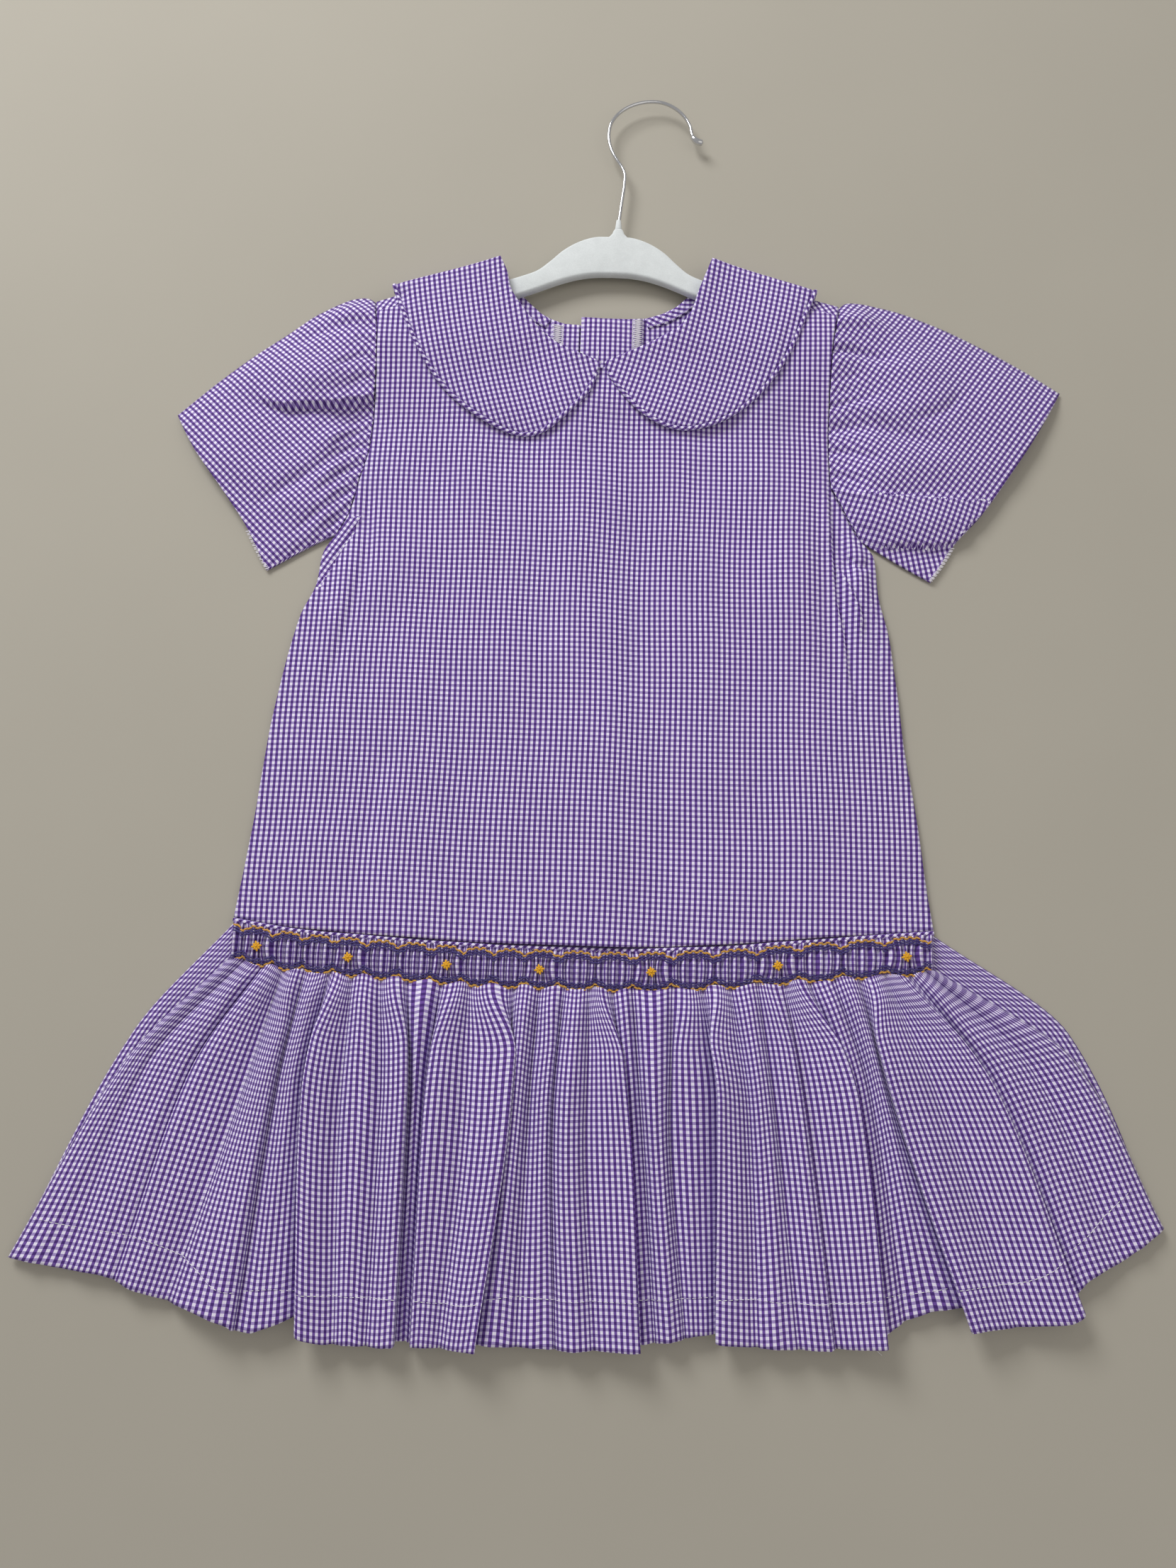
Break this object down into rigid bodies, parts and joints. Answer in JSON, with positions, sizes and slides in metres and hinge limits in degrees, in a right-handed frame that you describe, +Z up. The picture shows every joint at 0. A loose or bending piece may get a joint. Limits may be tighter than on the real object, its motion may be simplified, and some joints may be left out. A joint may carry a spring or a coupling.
{
  "type": "smocked dress on a hanger",
  "caption": "Girl's short-sleeved smocked dress laid flat on a child's hanger, with a two-part round collar, dropped smocked waist and gathered skirt.",
  "frame": {"origin": "on the floor under the middle of the laid-out dress and hanger", "axes": "+Y from the hem to the hanger's hook, +X to the right as laid face up, +Z up from the floor through the front of the dress"},
  "size_m": [0.619, 0.7655, 0.0168],
  "materials": {
    "gingham": "purple and white micro gingham cotton, plain weave",
    "bias_piping": "the same gingham cut on the bias over a cord",
    "flocked": "off-white flocked plastic",
    "hook_wire": "bright chromed steel wire"
  },
  "bodies": {
    "root": {"bodice_front": "gingham", "bodice_back_left": "gingham", "bodice_back_right": "gingham", "facing_left": "gingham", "facing_right": "gingham", "collar_left": "gingham", "collar_right": "gingham", "collar_piping_left": "bias_piping", "collar_piping_right": "bias_piping", "sleeve_left": "gingham", "sleeve_right": "gingham", "waist_piping": "bias_piping", "smocked_band": "gingham", "skirt_front": "gingham", "skirt_back": "gingham", "hanger_body": "flocked", "hook_ferrule": "flocked", "hanger_hook": "hook_wire"}
  },
  "joints": []
}
